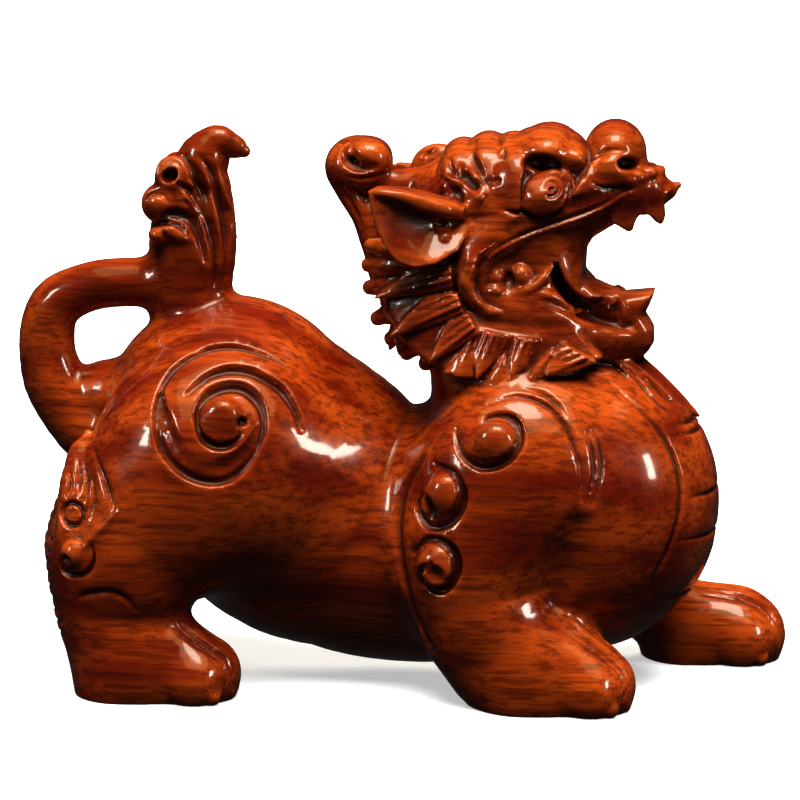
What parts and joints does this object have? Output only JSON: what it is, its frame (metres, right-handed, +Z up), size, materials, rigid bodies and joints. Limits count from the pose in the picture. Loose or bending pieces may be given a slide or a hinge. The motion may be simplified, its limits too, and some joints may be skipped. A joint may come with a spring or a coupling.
{
  "type": "pixiu figure",
  "caption": "Standing pixiu carved from solid polished rosewood, with an open mouth, a ruff of pointed locks, a curled horn and a tail that loops up into a tuft",
  "frame": {"origin": "bottom centre of the bounding box, level with the soles", "axes": "+X the way that the figure faces, +Y to the figure's left, +Z up"},
  "size_m": [0.21, 0.0834, 0.1539],
  "materials": {
    "rosewood": "polished"
  },
  "bodies": {
    "root": {"pixiu": "rosewood"}
  },
  "joints": []
}
